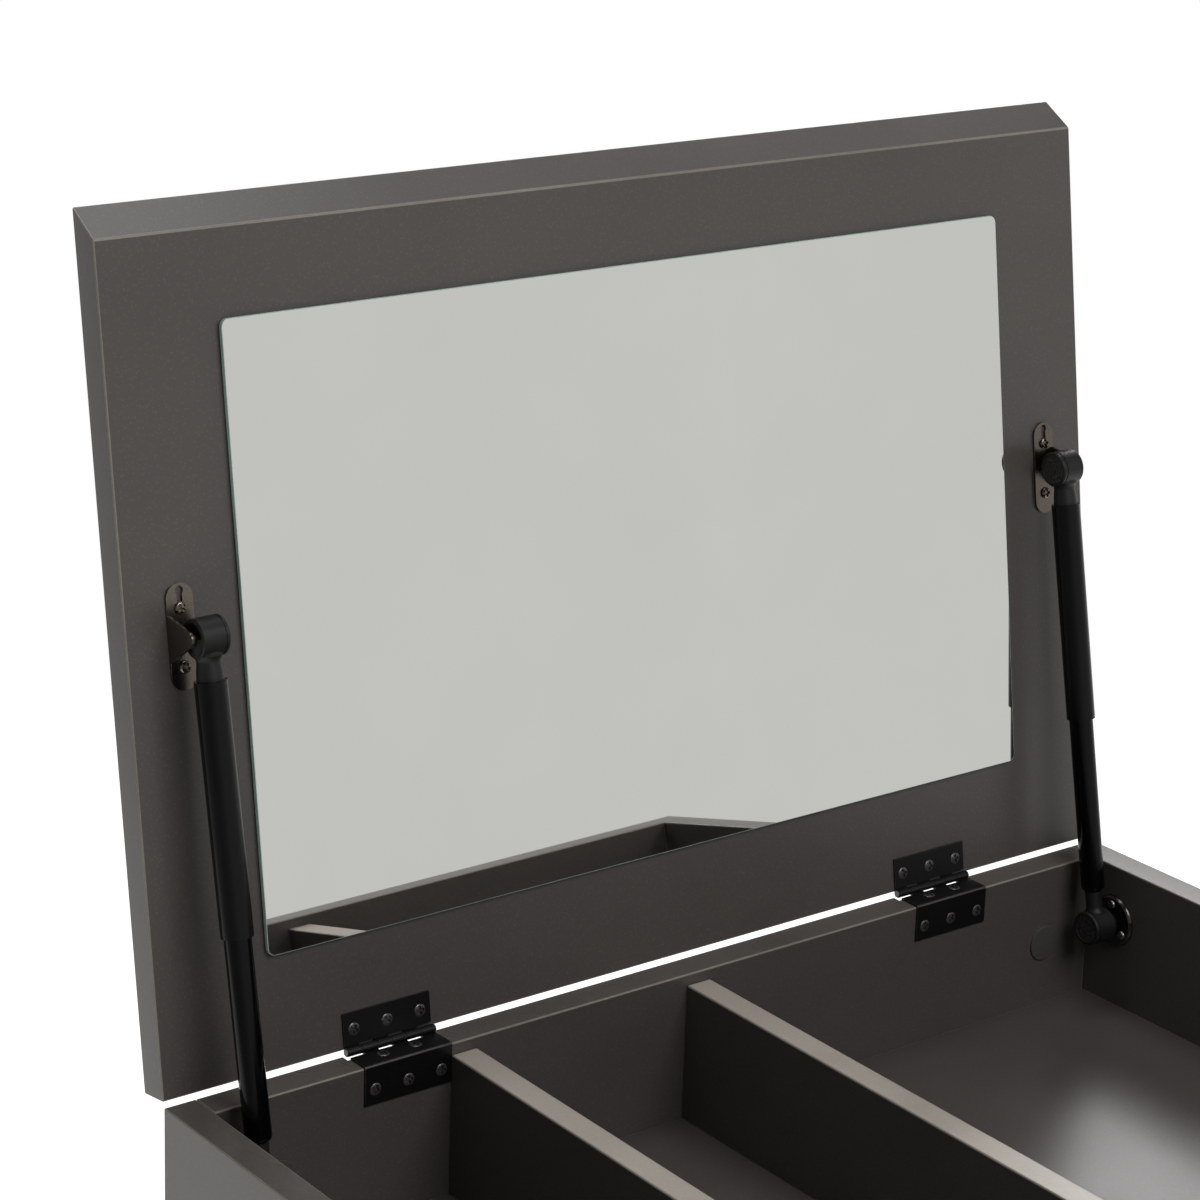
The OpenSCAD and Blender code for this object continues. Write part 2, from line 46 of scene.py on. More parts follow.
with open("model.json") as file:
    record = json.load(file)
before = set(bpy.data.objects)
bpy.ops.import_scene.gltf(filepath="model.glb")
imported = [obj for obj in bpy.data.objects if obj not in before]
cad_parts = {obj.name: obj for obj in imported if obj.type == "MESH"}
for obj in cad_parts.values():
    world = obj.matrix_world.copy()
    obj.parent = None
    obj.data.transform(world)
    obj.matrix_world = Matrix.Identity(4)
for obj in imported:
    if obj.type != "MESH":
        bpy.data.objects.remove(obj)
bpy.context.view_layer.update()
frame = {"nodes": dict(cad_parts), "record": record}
LOG = logging.getLogger("vanity_table")
MM = 0.001
# How close two places are to count as one, and corners to be merged
NEAR = 1e-4
WELD = 2e-6
# How well a face has to look along a direction to count as flat to it
FLAT = 0.99


# ---------------------------------------------------------------- helpers


def linear(hex_code: str) -> tuple[float, float, float, float]:
    """Turns an sRGB hex colour to linear light.

    Args:
        hex_code: the colour as six hex digits.

    Returns:
        The linear red, green and blue, with an alpha of 1.
    """
    channels = [int(hex_code[i:i + 2], 16) / 255 for i in (0, 2, 4)]
    light = [c / 12.92 if c <= 0.04045 else ((c + 0.055) / 1.055) ** 2.4 for c in channels]
    return (light[0], light[1], light[2], 1.0)


def corners(node: str) -> tuple[Vector, Vector]:
    """Gives a CAD node's lowest and highest corners.

    Args:
        node: the node's name.

    Returns:
        Both corners as vectors.
    """
    low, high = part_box(node)
    return Vector(low), Vector(high)


def body_holding(node: str) -> str:
    """Finds the CAD body that a node belongs to.

    Args:
        node: the node's name.

    Returns:
        The body's name.
    """
    bodies = frame["record"]["behaviour"]["bodies"]
    return next(name for name, nodes in bodies.items() if node in nodes)


def add_node(tree: bpy.types.NodeTree, kind: str, links: dict | None = None, **settings) -> bpy.types.Node:
    """Adds one node to a tree, with its settings, input values and links.

    Args:
        tree: the tree to add to.
        kind: the node's type name.
        links: input name or index to a value, or to the output socket that feeds it.
        settings: attributes of the node.

    Returns:
        The new node.
    """
    node = tree.nodes.new(kind)
    for name, value in settings.items():
        setattr(node, name, value)
    for key, value in (links or {}).items():
        socket = node.inputs[key]
        if isinstance(value, bpy.types.NodeSocket):
            tree.links.new(value, socket)
        else:
            socket.default_value = value
    return node


def mesh_object(name: str, mesh: bpy.types.Mesh) -> Piece:
    """Puts a mesh into the scene as an object at the origin.

    Args:
        name: the object's name.
        mesh: its mesh.

    Returns:
        The new object.
    """
    obj = bpy.data.objects.new(name, mesh)
    bpy.context.scene.collection.objects.link(obj)
    return obj


def evaluated_copy(obj: Piece, name: str) -> Piece:
    """Turns an object with modifiers into a plain mesh object and removes the first one.

    Args:
        obj: the object whose modifiers are taken up.
        name: the plain object's name.

    Returns:
        The plain object.
    """
    graph = bpy.context.evaluated_depsgraph_get()
    mesh = bpy.data.meshes.new_from_object(obj.evaluated_get(graph), depsgraph=graph)
    obj.modifiers.clear()
    bpy.data.objects.remove(obj, do_unlink=True)
    mesh.name = name
    return mesh_object(name, mesh)


def dress(obj: Piece, *materials: bpy.types.Material) -> None:
    """Gives an object its materials, in slot order, and leaves each face in its slot.

    Args:
        obj: the object.
        materials: one material for each slot.
    """
    slots = [face.material_index for face in obj.data.polygons]
    obj.data.materials.clear()
    for material in materials:
        obj.data.materials.append(material)
    if len(materials) > 1:
        obj.data.polygons.foreach_set("material_index", slots)


def smooth_by_angle(mesh: bpy.types.Mesh, degrees: float) -> None:
    """Shades a mesh smooth, with sharp edges above an angle.

    Args:
        mesh: the mesh to shade.
        degrees: the angle above which an edge stays sharp.
    """
    mesh.shade_smooth()
    mesh.set_sharp_from_angle(angle=math.radians(degrees))


def stand_for(obj: Piece, slot: str, *nodes: str) -> None:
    """Lets a finished piece ride on its body and replace its CAD nodes.

    Args:
        obj: the finished piece.
        slot: the record's material slot; not used.
        nodes: the CAD nodes that it replaces.
    """
    even = obj.modifiers.new("even_shading", "WEIGHTED_NORMAL")
    even.keep_sharp, even.weight = True, 100
    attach(obj, body_holding(nodes[0]))
    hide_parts(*nodes)
    LOG.info("piece %s: %d faces, for %s", obj.name, len(obj.data.polygons), ", ".join(nodes))


# ---------------------------------------------------------------- finishes


class Pattern(Enum):
    """The kinds of fine surface that the finishes use."""

    SPECKLE = "speckle"
    POWDER = "powder"
    SMOOTH = "smooth"
    PLATED = "plated"
    MOULDED = "moulded"
    GRAIN = "grain"


@dataclass(frozen=True)
class Finish:
    """One real surface finish: its colours, its gloss and the size of its pattern."""

    name: str
    colour: str
    second: str
    pattern: Pattern
    rough: float
    rough_spread: float = 0.05
    metallic: float = 0.0
    coat: float = 0.0
    coat_rough: float = 0.12
    ior: float = 1.5
    grit_mm: float = 0.6
    bump_mm: float = 0.02
    bump_strength: float = 0.6
    cloud: float = 0.15
    cloud_scale: float = 9.0

    def build(self) -> bpy.types.Material:
        """Builds the finish as a node material.

        Returns:
            The material.
        """
        material = bpy.data.materials.new(self.name)
        material.use_nodes = True
        tree = material.node_tree
        shader = tree.nodes["Principled BSDF"]
        shader.inputs["Metallic"].default_value = self.metallic
        shader.inputs["Coat Weight"].default_value = self.coat
        shader.inputs["Coat Roughness"].default_value = self.coat_rough
        if self.metallic < 0.5:
            shader.inputs["IOR"].default_value = self.ior
        place = add_node(tree, "ShaderNodeTexCoord").outputs["Object"]
        fine, height = self._fine(tree, place)
        broad = add_node(tree, "ShaderNodeTexNoise",
                         {"Vector": place, "Scale": self.cloud_scale, "Detail": 3.0})
        tones = add_node(tree, "ShaderNodeMix", {0: fine, 6: linear(self.colour), 7: linear(self.second)},
                         data_type="RGBA")
        shade = add_node(tree, "ShaderNodeMapRange",
                         {0: broad.outputs[0], 1: 0.3, 2: 0.7, 3: 1 - self.cloud, 4: 1 + self.cloud})
        clouded = add_node(tree, "ShaderNodeVectorMath", {0: tones.outputs[2], "Scale": shade.outputs[0]},
                           operation="SCALE")
        tree.links.new(clouded.outputs[0], shader.inputs["Base Color"])
        gloss = add_node(tree, "ShaderNodeMapRange",
                         {0: broad.outputs[0], 1: 0.3, 2: 0.7, 3: self.rough - self.rough_spread,
                          4: self.rough + self.rough_spread})
        tree.links.new(gloss.outputs[0], shader.inputs["Roughness"])
        bump = add_node(tree, "ShaderNodeBump",
                        {"Height": height, "Distance": self.bump_mm * MM, "Strength": self.bump_strength})
        tree.links.new(bump.outputs[0], shader.inputs["Normal"])
        return material

    def _fine(self, tree: bpy.types.NodeTree,
              place: bpy.types.NodeSocket) -> tuple[bpy.types.NodeSocket, bpy.types.NodeSocket]:
        """Draws the finish's fine pattern.

        Args:
            tree: the material's tree.
            place: the coordinates to draw it on.

        Returns:
            How far the colour goes to the second one, and the height of the surface.
        """
        cycles = 1 / (self.grit_mm * MM)
        if self.pattern is Pattern.GRAIN:
            long_way = add_node(tree, "ShaderNodeMapping", {"Vector": place, "Scale": (1.0, 1.0, 0.04)})
            fibres = add_node(tree, "ShaderNodeTexNoise",
                              {"Vector": long_way.outputs[0], "Scale": cycles, "Detail": 4.0})
            pale = add_node(tree, "ShaderNodeMapRange", {0: fibres.outputs[0], 1: 0.4, 2: 0.65})
            return pale.outputs[0], fibres.outputs[0]
        grains = add_node(tree, "ShaderNodeTexNoise", {"Vector": place, "Scale": cycles, "Detail": 2.0})
        if self.pattern is Pattern.SPECKLE:
            dots = add_node(tree, "ShaderNodeTexVoronoi", {"Vector": place, "Scale": cycles * 0.45})
            near = add_node(tree, "ShaderNodeMapRange",
                            {0: dots.outputs["Distance"], 1: 0.12, 2: 0.34, 3: 1.0, 4: 0.0})
            mixed = add_node(tree, "ShaderNodeMath", {0: near.outputs[0], 1: grains.outputs[0]},
                             operation="MULTIPLY")
            return mixed.outputs[0], grains.outputs[0]
        low, high = (0.35, 0.75) if self.pattern is not Pattern.SMOOTH else (0.45, 0.9)
        spread = add_node(tree, "ShaderNodeMapRange", {0: grains.outputs[0], 1: low, 2: high})
        return spread.outputs[0], grains.outputs[0]


# Melamine-faced chipboard, pressed against a fine textured plate: dark warm grey with pale specks
MELAMINE = Finish("melamine_dark_grey", "4A4644", "5F5A56", Pattern.SPECKLE, 0.31, 0.03, grit_mm=0.8,
                  bump_mm=0.04, cloud=0.06)
# The edge band on the boards' narrow top faces: smoother than the melamine, so it shines at a low angle, and
# painted lighter than it as painted top light
BAND_PAINTED_TOP_LIGHT = Finish("edge_band_painted_top_light", "57524E", "625C58", Pattern.SMOOTH, 0.28, 0.04, ior=1.45,
                   grit_mm=1.2,
                   bump_mm=0.01)
# The dividers' band, painted paler than the case's own as painted top light on the dividers' tops
DIVIDER_BAND_PAINTED_TOP_LIGHT = Finish("pale_edge_band", "9F978E", "A8A097", Pattern.SMOOTH, 0.36, 0.04, grit_mm=1.2,
                   bump_mm=0.01)
# Painted highlight: the boards' and the lid's rounded edge corners, painted paler and slightly glossy to
# stand for the light that they catch
TRIM_PAINTED_HIGHLIGHT = Finish("edge_trim_painted_highlight", "7A746C", "868077", Pattern.SMOOTH, 0.32, 0.05, grit_mm=2.0,
                   bump_mm=0.01)
# Powder-coated sheet steel, satin black with a faint orange peel
POWDER_BLACK = Finish("powder_coated_steel", "070708", "101011", Pattern.POWDER, 0.34, 0.06, ior=1.38,
                      grit_mm=0.8,
                      bump_mm=0.03)
# Painted highlight: the coat on a fold or a cut edge, painted a paler metallic grey to stand for the light
# that it catches
BLACK_EDGE_PAINTED_HIGHLIGHT = Finish("coated_edge_painted_highlight", "4A4846", "5C5A57", Pattern.SMOOTH, 0.3, 0.05, metallic=0.6,
                    grit_mm=0.8,
                    bump_mm=0.01)
# Black oxide screw steel, a little shinier than the leaf round it
SCREW_BLACK = Finish("black_oxide_screw", "504E4C", "646260", Pattern.PLATED, 0.3, 0.06, metallic=0.7,
                     grit_mm=0.5)
# Gloss enamel on a drawn steel tube, which shows a narrow streak of light
STRUT_ENAMEL = Finish("gloss_black_enamel", "030304", "070708", Pattern.SMOOTH, 0.14, 0.03, ior=1.28,
                      grit_mm=1.5,
                      bump_mm=0.004, cloud=0.08)
# Nickel plate on stamped steel, warm and slightly brushed
NICKEL = Finish("nickel_plated_steel", "6C645D", "7E756D", Pattern.PLATED, 0.25, 0.07, metallic=1.0,
                grit_mm=0.7,
                bump_mm=0.01)
# Painted highlight: the plate on a rounded edge, painted a paler nickel to stand for the light that it
# catches
NICKEL_EDGE_PAINTED_HIGHLIGHT = Finish("nickel_edge_painted_highlight", "C9C0B4", "DAD2C8", Pattern.SMOOTH, 0.24, 0.05, metallic=1.0,
                     grit_mm=0.7, bump_mm=0.01)
# Hard chrome on the ground piston rod
CHROME = Finish("hard_chrome_rod", "C4C5C8", "D4D5D8", Pattern.SMOOTH, 0.08, 0.02, metallic=1.0, grit_mm=2.0,
                bump_mm=0.001, cloud=0.04)
# Glass-filled nylon, moulded, matt grey-black
NYLON = Finish("moulded_nylon", "111110", "1A1A19", Pattern.MOULDED, 0.46, 0.06, ior=1.36, grit_mm=0.7,
               bump_mm=0.05)
# Black polypropylene sleeve, extruded, glossy
SLEEVE = Finish("extruded_polypropylene", "050506", "0A0A0B", Pattern.SMOOTH, 0.2, 0.04, ior=1.3,
                grit_mm=1.5,
                bump_mm=0.005, cloud=0.08)
# Silvered float glass, seen from the front
SILVERED = Finish("silvered_float_glass", "F2F2EF", "F5F5F2", Pattern.SMOOTH, 0.012, 0.004, metallic=1.0,
                  grit_mm=60.0, bump_mm=0.0, cloud=0.01)
# The ground edge of the glass, pale green
GLASS_EDGE = Finish("ground_glass_edge", "A9BDB4", "C5D3CC", Pattern.SMOOTH, 0.25, 0.05, grit_mm=1.0,
                    bump_mm=0.01)
# Closed-cell foam tape behind the glass
FOAM = Finish("foam_tape", "D8D6D0", "E6E4DE", Pattern.MOULDED, 0.8, 0.05, grit_mm=0.8, bump_mm=0.05)
# Beech, turned, stained black so that the grain just shows
STAINED_BEECH = Finish("black_stained_beech", "1E1B19", "352F2A", Pattern.GRAIN, 0.38, 0.06, grit_mm=1.2,
                       bump_mm=0.05)
# Plain beech dowel
BEECH = Finish("plain_beech", "B98F5F", "CDA878", Pattern.GRAIN, 0.6, 0.05, grit_mm=0.9, bump_mm=0.04)
# Pressed polypropylene cap in the boards' grey, plain and a little smoother than they are
CAP_PLASTIC = Finish("cap_polypropylene", "3F3C39", "4A4744", Pattern.MOULDED, 0.45, 0.05, grit_mm=0.7,
                     bump_mm=0.02)
# The pebbled face of the socket's cap, which breaks up the light
NYLON_CAP = Finish("pebbled_nylon", "121211", "3C3B39", Pattern.MOULDED, 0.36, 0.08, ior=1.4, grit_mm=1.3,
                   bump_mm=1.2, bump_strength=1.0)
# Zinc-plated screw, bright with a slight stain
SCREW_BRIGHT = Finish("zinc_plated_screw", "8F8B86", "B5B1AA", Pattern.PLATED, 0.3, 0.08, metallic=1.0,
                      grit_mm=0.5)
# Gloss black lacquer on the stamped plates, with the slight ripple of a dipped coat
PLATE_ENAMEL = Finish("dipped_black_lacquer", "111112", "1B1B1B", Pattern.POWDER, 0.2, 0.05, coat=0.5,
                      grit_mm=1.4,
                      bump_mm=0.04)
# Painted studio floor
PALE_FLOOR = Finish("pale_painted_floor", "F2F2F0", "F6F6F4", Pattern.SMOOTH, 0.7, 0.05, grit_mm=4.0,
                    cloud=0.01)


# ---------------------------------------------------------------- shapes


@functools.cache
def paint(finish: Finish) -> bpy.types.Material:
    """Builds a finish's material the first time that it is asked for."""
    return finish.build()


def to_mesh(form: Form, name: str, degrees: float = 35) -> bpy.types.Mesh:
    """Writes a form out as a mesh with outward normals, and frees it.

    Args:
        form: the form to write out.
        name: the mesh's name.
        degrees: the angle above which an edge stays sharp.

    Returns:
        The mesh.
    """
    bmesh.ops.recalc_face_normals(form, faces=form.faces[:])
    mesh = bpy.data.meshes.new(name)
    form.to_mesh(mesh)
    form.free()
    smooth_by_angle(mesh, degrees)
    return mesh


def block(low: Vector, high: Vector) -> Form:
    """Makes a rectangular form between two corners."""
    form = bmesh.new()
    made = bmesh.ops.create_cube(form, size=1.0)
    for vert in made["verts"]:
        vert.co = Vector([low[i] + (vert.co[i] + 0.5) * (high[i] - low[i]) for i in range(3)])
    return form


def prism(outline: Sequence[tuple[float, float]], x_low: float, x_high: float) -> Form:
    """Makes a form that is one outline carried along X.

    Args:
        outline: the outline's points as Y and Z, in order round it.
        x_low: where the form starts.
        x_high: where it ends.

    Returns:
        The closed form.
    """
    form = bmesh.new()
    rings = [[form.verts.new((x, y, z)) for y, z in outline] for x in (x_low, x_high)]
    form.faces.new(rings[0])
    form.faces.new(rings[1])
    count = len(outline)
    for i in range(count):
        j = (i + 1) % count
        form.faces.new((rings[0][i], rings[0][j], rings[1][j], rings[1][i]))
    bmesh.ops.recalc_face_normals(form, faces=form.faces[:])
    return form


def ordered(form: Form) -> None:
    """Sorts a form's corners and faces by their places, so that each run writes the same mesh."""
    for parts, place in ((form.verts, lambda v: v.co), (form.faces, lambda f: f.calc_center_median())):
        for index, part in enumerate(sorted(parts, key=lambda p: tuple(round(c, 7) for c in place(p)))):
            part.index = index
        parts.sort()


def round_edges(form: Form, width: float, degrees: float = 50, segments: int = 2, material: int = -1,
                wanted: Callable[[bmesh.types.BMEdge], bool] = lambda edge: True) -> None:
    """Bevels a form's outward edges.

    Args:
        form: the form, changed in place.
        width: how wide each bevel is.
        degrees: the least angle between two faces whose edge is bevelled.
        segments: how many faces go across a bevel.
        material: the material slot of the bevel's faces, or -1 for their neighbours' slot.
        wanted: says whether an edge is to be bevelled.
    """
    edges = [e for e in form.edges if e.is_manifold and e.is_convex
             and e.calc_face_angle(0) > math.radians(degrees) and wanted(e)]
    bmesh.ops.bevel(form, geom=edges, offset=width, segments=segments, profile=0.5, affect="EDGES",
                    clamp_overlap=True, material=material)
    ordered(form)


def turned_form(profile: Sequence[tuple[float, float]], steps: int = 48,
                caps: Callable[[float, float], int] = lambda along, out: 0) -> Form:
    """Turns a profile round the Z axis into a closed form.

    Args:
        profile: points as (distance along Z, radius), from one pole to the other.
        steps: how many faces go round.
        caps: gives a face's material slot from its middle's place along Z and its radius.

    Returns:
        The turned form.
    """
    form = bmesh.new()
    rings = []
    for along, out in profile:
        if out < 1e-7:
            rings.append([form.verts.new((0, 0, along))])
            continue
        angles = [2 * math.pi * k / steps for k in range(steps)]
        rings.append([form.verts.new((out * math.cos(a), out * math.sin(a), along)) for a in angles])
    for (first, second), (start, end) in zip(zip(rings, rings[1:]), zip(profile, profile[1:])):
        for k in range(steps):
            n = (k + 1) % steps
            ring = [first[k % len(first)], first[n % len(first)], second[n % len(second)],
                    second[k % len(second)]]
            face = form.faces.new(list(dict.fromkeys(ring)))
            face.material_index = caps((start[0] + end[0]) / 2, (start[1] + end[1]) / 2)
    bmesh.ops.recalc_face_normals(form, faces=form.faces[:])
    return form


def moved(form: Form, origin: Vector, axis: Vector) -> Form:
    """Moves a form from the Z axis to lie along another axis.

    Args:
        form: the form, changed in place.
        origin: where the form's own origin goes.
        axis: the direction that its Z axis takes.

    Returns:
        The same form.
    """
    turn = axis.normalized().to_track_quat("Z", "Y").to_matrix().to_4x4()
    bmesh.ops.transform(form, matrix=Matrix.Translation(origin) @ turn, verts=form.verts[:])
    return form


def taken_up(obj: Piece) -> Form:
    """Takes a plain object's mesh up as a form, and removes the object."""
    form = bmesh.new()
    form.from_mesh(obj.data)
    bpy.data.objects.remove(obj, do_unlink=True)
    return form


def cut_away(form: Form, bars: Sequence[Form]) -> Form:
    """Cuts several forms out of one, and frees them all.

    Args:
        form: the form to cut.
        bars: the forms that are cut out of it.

    Returns:
        What is left of the first form.
    """
    whole = mesh_object("whole", to_mesh(form, "whole"))
    cutters = [mesh_object("cutter", to_mesh(bar, "cutter")) for bar in bars]
    for cutter in cutters:
        cut = whole.modifiers.new("cut", "BOOLEAN")
        cut.operation, cut.solver, cut.object = "DIFFERENCE", "EXACT", cutter
    left = taken_up(evaluated_copy(whole, "cut"))
    for cutter in cutters:
        bpy.data.objects.remove(cutter, do_unlink=True)
    return left


def joined(forms: Sequence[Form]) -> Form:
    """Puts several forms into one, and frees them.

    Args:
        forms: the forms.

    Returns:
        One form that holds them all.
    """
    whole = bmesh.new()
    for form in forms:
        part = bpy.data.meshes.new("part")
        form.to_mesh(part)
        form.free()
        whole.from_mesh(part)
        bpy.data.meshes.remove(part)
    return whole


def welded(node: str) -> Form:
    """Copies a CAD node's loose triangles into a form whose doubled corners are merged."""
    form = bmesh.new()
    form.from_mesh(frame["nodes"][node].data)
    bmesh.ops.remove_doubles(form, verts=form.verts[:], dist=WELD)
    return form


def flattened(form: Form) -> Form:
    """Dissolves the edges inside a form's flat faces, and gives the form back."""
    bmesh.ops.dissolve_limit(form, angle_limit=math.radians(1), verts=form.verts[:], edges=form.edges[:])
    return form


def built(name: str, form: Form, degrees: float, finishes: Sequence[Finish], slot: str,
          *nodes: str) -> None:
    """Turns a form into a finished piece that stands for its CAD nodes.

    Args:
        name: the piece's name.
        form: the form, which is freed.
        degrees: the angle above which an edge stays sharp.
        finishes: one finish for each of the form's material slots.
        slot: the record's material slot, which is handed on to stand_for.
        nodes: the CAD nodes that it replaces.
    """
    obj = mesh_object(name, to_mesh(form, name, degrees))
    dress(obj, *[paint(finish) for finish in finishes])
    stand_for(obj, slot, *nodes)


def islands(node: str) -> list[np.ndarray]:
    """Finds the corner points of each separate solid of a CAD node.

    Args:
        node: the node's name.

    Returns:
        One array of points for each solid.
    """
    form = welded(node)
    unseen = dict.fromkeys(form.verts)
    found = []
    while unseen:
        stack, island = [unseen.popitem()[0]], []
        while stack:
            vert = stack.pop()
            island.append(vert.co.copy())
            for edge in vert.link_edges:
                other = edge.other_vert(vert)
                if other in unseen:
                    del unseen[other]
                    stack.append(other)
        found.append(np.array(island))
    form.free()
    return found


def fixings(node: str) -> list[Spot]:
    """Finds the heads of a CAD node's screws.

    Args:
        node: the node's name.

    Returns:
        For each screw, the middle of its head's outer face, and the direction that the face looks in.
    """
    ways = [Vector((1, 0, 0)), Vector((0, 1, 0)), Vector((0, 0, 1)), flat_normal("mirror_glass")]
    heads = [_head_of(points, ways) for points in islands(node)]
    return sorted(heads, key=lambda place: tuple(round(c, 4) for c in place[0]))


def flat_normal(node: str) -> Vector:
    """Gives the direction that the largest flat face of a CAD node looks in."""
    form = flattened(welded(node))
    way = max(form.faces, key=lambda f: f.calc_area()).normal.copy()
    form.free()
    return way


def _head_of(points: np.ndarray, ways: Sequence[Vector]) -> Spot:
    """Finds the head of one long round solid.

    Args:
        points: the solid's corner points.
        ways: the directions that its axis may have.

    Returns:
        The middle of the head's outer face, and the direction that the face looks in.
    """
    long_way = Vector(np.linalg.svd(points - points.mean(0), full_matrices=False)[2][0])
    axis = max(ways, key=lambda way: abs(way.dot(long_way))).normalized()
    first = axis.orthogonal().normalized()
    second = axis.cross(first)
    basis = np.array([first, second, axis])
    local = points @ basis.T
    middle = (local.max(0) + local.min(0)) / 2
    out = np.hypot(local[:, 0] - middle[0], local[:, 1] - middle[1])
    above = local[:, 2] > middle[2]
    if out[above].max() < out[~above].max():
        middle[2], axis = local[:, 2].min(), -axis
    else:
        middle[2] = local[:, 2].max()
    return Vector(middle @ basis), axis


# ---------------------------------------------------------------- repeated pieces


@functools.cache
def scatter_tree() -> bpy.types.NodeTree:
    """Builds, once, the node tree that sets a small shape on every point and turns it to face outwards.

    Returns:
        The tree, whose inputs are Points, Shape, Size, Spin and Finish.
    """
    tree = bpy.data.node_groups.new("set_on_points", "GeometryNodeTree")
    sockets = {}
    for name, kind in (("Points", "NodeSocketGeometry"), ("Shape", "NodeSocketObject"),
                       ("Size", "NodeSocketFloat"), ("Spin", "NodeSocketFloat"),
                       ("Finish", "NodeSocketMaterial")):
        sockets[name] = tree.interface.new_socket(name, in_out="INPUT", socket_type=kind)
    sockets["Size"].default_value = 1.0
    tree.interface.new_socket("Mesh", in_out="OUTPUT", socket_type="NodeSocketGeometry")
    given = add_node(tree, "NodeGroupInput")
    facing = add_node(tree, "GeometryNodeInputNamedAttribute", {"Name": "facing"}, data_type="FLOAT_VECTOR")
    outwards = add_node(tree, "FunctionNodeAlignRotationToVector", {"Vector": facing.outputs[0]}, axis="Z")
    chance = add_node(tree, "FunctionNodeRandomValue", {"Max": given.outputs["Spin"], "Seed": 7},
                      data_type="FLOAT")
    chance.inputs[2].default_value = 0.0
    tree.links.new(given.outputs["Spin"], chance.inputs[3])
    twist = add_node(tree, "ShaderNodeCombineXYZ", {"Z": chance.outputs[1]})
    turn = add_node(tree, "FunctionNodeEulerToRotation", {"Euler": twist.outputs[0]})
    both = add_node(tree, "FunctionNodeRotateRotation",
                    {"Rotation": outwards.outputs[0], "Rotate By": turn.outputs[0]}, rotation_space="LOCAL")
    shape = add_node(tree, "GeometryNodeObjectInfo", {"Object": given.outputs["Shape"]})
    points = add_node(tree, "GeometryNodeMeshToPoints", {"Mesh": given.outputs["Points"]})
    placed = add_node(tree, "GeometryNodeInstanceOnPoints",
                      {"Points": points.outputs[0], "Instance": shape.outputs["Geometry"],
                       "Rotation": both.outputs[0], "Scale": given.outputs["Size"]})
    real = add_node(tree, "GeometryNodeRealizeInstances", {0: placed.outputs[0]})
    done = add_node(tree, "GeometryNodeSetMaterial",
                    {"Geometry": real.outputs[0], "Material": given.outputs["Finish"]})
    add_node(tree, "NodeGroupOutput", {0: done.outputs[0]})
    return tree


def leg_tree() -> bpy.types.NodeTree:
    """Builds the node tree of a tapered round leg, turned along a line and set on every point.

    Returns:
        The tree, whose inputs are Points, Top radius, Foot radius, Length, Belly, Sides and Finish.
    """
    tree = bpy.data.node_groups.new("tapered_leg", "GeometryNodeTree")
    sizes = {"Top radius": 0.02, "Foot radius": 0.0125, "Length": 0.63, "Belly": 0.0}
    tree.interface.new_socket("Points", in_out="INPUT", socket_type="NodeSocketGeometry")
    for name, value in sizes.items():
        tree.interface.new_socket(name, in_out="INPUT", socket_type="NodeSocketFloat").default_value = value
    tree.interface.new_socket("Sides", in_out="INPUT", socket_type="NodeSocketInt").default_value = 64
    tree.interface.new_socket("Finish", in_out="INPUT", socket_type="NodeSocketMaterial")
    tree.interface.new_socket("Mesh", in_out="OUTPUT", socket_type="NodeSocketGeometry")
    given = add_node(tree, "NodeGroupInput")
    size = given.outputs
    drop = add_node(tree, "ShaderNodeMath", {0: size["Length"], 1: -1.0}, operation="MULTIPLY")
    foot = add_node(tree, "ShaderNodeCombineXYZ", {"Z": drop.outputs[0]})
    line = add_node(tree, "GeometryNodeCurvePrimitiveLine", {"End": foot.outputs[0]}, mode="POINTS")
    fine = add_node(tree, "GeometryNodeResampleCurve", {"Curve": line.outputs[0], "Count": 33}, mode="COUNT")
    part = add_node(tree, "GeometryNodeSplineParameter")
    taper = add_node(tree, "ShaderNodeMapRange",
                     {0: part.outputs["Factor"], 1: 0.0, 2: 1.0, 3: size["Top radius"],
                      4: size["Foot radius"]})
    half_turn = add_node(tree, "ShaderNodeMath", {0: part.outputs["Factor"], 1: math.pi},
                         operation="MULTIPLY")
    wave = add_node(tree, "ShaderNodeMath", {0: half_turn.outputs[0]}, operation="SINE")
    full = add_node(tree, "ShaderNodeMath", {0: wave.outputs[0], 1: size["Belly"], 2: taper.outputs[0]},
                    operation="MULTIPLY_ADD")
    circle = add_node(tree, "GeometryNodeCurvePrimitiveCircle", {"Resolution": size["Sides"], "Radius": 1.0})
    swept = add_node(tree, "GeometryNodeCurveToMesh",
                     {"Curve": fine.outputs[0], "Profile Curve": circle.outputs[0], "Scale": full.outputs[0],
                      "Fill Caps": True})
    points = add_node(tree, "GeometryNodeMeshToPoints", {"Mesh": size["Points"]})
    placed = add_node(tree, "GeometryNodeInstanceOnPoints",
                      {"Points": points.outputs[0], "Instance": swept.outputs[0]})
    real = add_node(tree, "GeometryNodeRealizeInstances", {0: placed.outputs[0]})
    done = add_node(tree, "GeometryNodeSetMaterial",
                    {"Geometry": real.outputs[0], "Material": size["Finish"]})
    add_node(tree, "NodeGroupOutput", {0: done.outputs[0]})
    return tree


